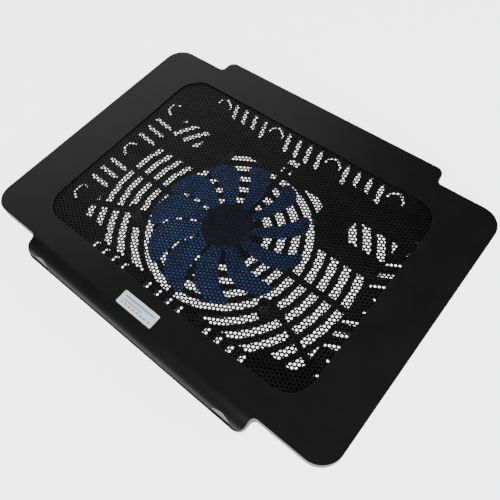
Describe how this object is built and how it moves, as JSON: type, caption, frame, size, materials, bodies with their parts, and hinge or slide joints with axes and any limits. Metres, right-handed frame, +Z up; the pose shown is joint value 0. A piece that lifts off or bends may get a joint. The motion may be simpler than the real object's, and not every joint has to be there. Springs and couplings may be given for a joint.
{
  "type": "laptop cooling pad",
  "caption": "Flat black laptop cooling pad with a perforated steel grille over one large blue fan, a slotted base, USB sockets, a slide switch and fold-out rear feet.",
  "frame": {"origin": "on the desk plane, under the middle of the pad", "axes": "+X along the long side to the right, +Y to the rear, +Z up"},
  "size_m": [0.34, 0.2574, 0.024],
  "materials": {
    "frame_plastic": "satin moulded",
    "grille_steel": "powder-coated black",
    "base_plastic": "fine moulded texture",
    "clear_silicone": "clear, slightly milky",
    "foot_rubber": "matte",
    "screw_steel": "blackened zinc",
    "label_vinyl": "printed vinyl",
    "bearing_brass": "turned",
    "bush_bronze": "sintered",
    "pad_nylon": "matte",
    "core_steel": "plain",
    "insulator_nylon": "matte",
    "coil_copper": "enamelled wire",
    "board_laminate": "lacquered",
    "chip_plastic": "matte",
    "lead_vinyl": "satin",
    "socket_steel": "nickel plated",
    "tongue_plastic": "satin",
    "contact_brass": "gold flashed",
    "switch_plastic": "satin",
    "pin_steel": "ground",
    "fan_plastic": "clear blue, glossy",
    "magnet_ferrite": "sintered"
  },
  "bodies": {
    "pad": {"top_frame": "frame_plastic", "mesh_grille": "grille_steel", "base_shell": "base_plastic", "front_bumpers": "clear_silicone", "rubber_feet": "foot_rubber", "case_screws": "screw_steel", "label_plate": "label_vinyl", "bearing_tube": "bearing_brass", "bearing_bush": "bush_bronze", "thrust_pad": "pad_nylon", "stator_core": "core_steel", "stator_insulator": "insulator_nylon", "stator_coils": "coil_copper", "motor_board": "board_laminate", "hall_sensor": "chip_plastic", "fan_lead": "lead_vinyl", "usb_board": "board_laminate", "board_parts": "chip_plastic", "board_screws": "screw_steel", "usb_shells": "socket_steel", "usb_tongues": "tongue_plastic", "usb_contacts": "contact_brass", "switch_body": "switch_plastic", "foot_pins": "pin_steel"},
    "fan": {"fan_rotor": "fan_plastic", "rotor_yoke": "core_steel", "magnet_ring": "magnet_ferrite", "motor_shaft": "pin_steel", "shaft_clip": "pad_nylon"},
    "switch_knob": {"switch_slider": "switch_plastic"},
    "left_foot": {"flip_foot_left": "base_plastic", "foot_grip_left": "foot_rubber"},
    "right_foot": {"flip_foot_right": "base_plastic", "foot_grip_right": "foot_rubber"}
  },
  "joints": [
    {"name": "fan_spin", "type": "hinge", "parent": "pad", "child": "fan", "pos_m": [0, -0.0115, 0.01], "axis": [0, 0, 1], "continuous": true},
    {"name": "fan_switch", "type": "slide", "parent": "pad", "child": "switch_knob", "axis": [1, 0, 0], "range_m": [0, 0.003]},
    {"name": "left_foot_fold", "type": "hinge", "parent": "pad", "child": "left_foot", "pos_m": [-0.063, 0.0774, 0.0049], "axis": [1, 0, 0], "range_deg": [0, 104]},
    {"name": "right_foot_fold", "type": "hinge", "parent": "pad", "child": "right_foot", "pos_m": [0.063, 0.0774, 0.0049], "axis": [1, 0, 0], "range_deg": [0, 104]}
  ]
}
